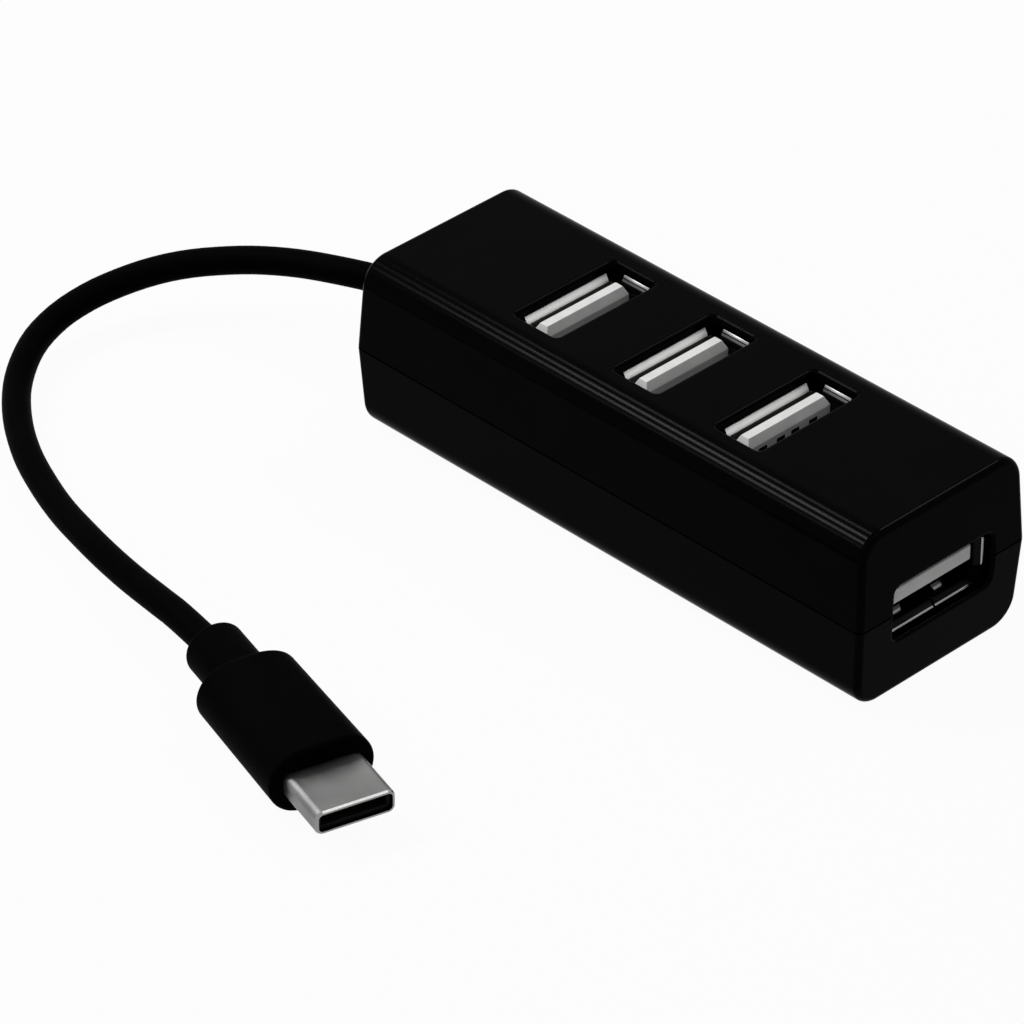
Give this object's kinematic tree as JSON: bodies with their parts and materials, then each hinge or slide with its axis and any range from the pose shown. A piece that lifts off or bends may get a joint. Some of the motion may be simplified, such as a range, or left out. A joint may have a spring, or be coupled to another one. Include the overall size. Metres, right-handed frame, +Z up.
{
  "type": "usb hub",
  "caption": "Bar-shaped glossy black USB hub with USB-A sockets in its top and its end face, and a short captive cable that ends in a USB-C plug",
  "frame": {"origin": "on the surface the hub lies on, under the middle of the housing", "axes": "+X runs along the housing to the end socket, -X to the cable; +Y is across the housing, away from the cable's loop; +Z is up, out of the top sockets"},
  "size_m": [0.1031, 0.0745, 0.0198],
  "materials": {
    "housing_black": "glossy moulded black plastic",
    "cable_black": "satin black jacket and overmould",
    "nickel_sheet": "nickel-plated drawn sheet, satin with bright edges",
    "ivory_insulator": "ivory moulded insulator",
    "black_insulator": "black moulded insulator",
    "gold_contact": "gold-plated contact strip",
    "board_green": "green solder mask on glass fibre",
    "chip_black": "moulded chip package",
    "can_steel": "drawn crystal can",
    "capacitor_sleeve": "shrunk sleeve",
    "fuse_body": "coated fuse body",
    "ceramic": "ceramic chip capacitor",
    "wire_red": "wire insulation",
    "wire_white": "wire insulation",
    "wire_green": "wire insulation",
    "wire_black": "wire insulation"
  },
  "bodies": {
    "root": {"black_wire": "wire_black", "bulk_capacitor": "capacitor_sleeve", "cable": "cable_black", "cable_grommet": "cable_black", "chip_capacitor_1": "ceramic", "chip_capacitor_2": "ceramic", "chip_capacitor_3": "ceramic", "chip_capacitor_4": "ceramic", "circuit_board": "board_green", "crystal_can": "can_steel", "end_socket_contact_1": "gold_contact", "end_socket_contact_2": "gold_contact", "end_socket_contact_3": "gold_contact", "end_socket_contact_4": "gold_contact", "end_socket_insulator": "ivory_insulator", "end_socket_shell": "nickel_sheet", "green_wire": "wire_green", "hub_chip": "chip_black", "lower_shell": "housing_black", "plug_insulator": "black_insulator", "plug_lower_contacts": "gold_contact", "plug_overmould": "cable_black", "plug_paddle_board": "board_green", "plug_shell": "nickel_sheet", "plug_upper_contacts": "gold_contact", "red_wire": "wire_red", "resettable_fuse": "fuse_body", "top_socket_1_contact_1": "gold_contact", "top_socket_1_contact_2": "gold_contact", "top_socket_1_contact_3": "gold_contact", "top_socket_1_contact_4": "gold_contact", "top_socket_1_insulator": "ivory_insulator", "top_socket_1_shell": "nickel_sheet", "top_socket_2_contact_1": "gold_contact", "top_socket_2_contact_2": "gold_contact", "top_socket_2_contact_3": "gold_contact", "top_socket_2_contact_4": "gold_contact", "top_socket_2_insulator": "ivory_insulator", "top_socket_2_shell": "nickel_sheet", "top_socket_3_contact_1": "gold_contact", "top_socket_3_contact_2": "gold_contact", "top_socket_3_contact_3": "gold_contact", "top_socket_3_contact_4": "gold_contact", "top_socket_3_insulator": "ivory_insulator", "top_socket_3_shell": "nickel_sheet", "upper_shell": "housing_black", "white_wire": "wire_white"}
  },
  "joints": []
}
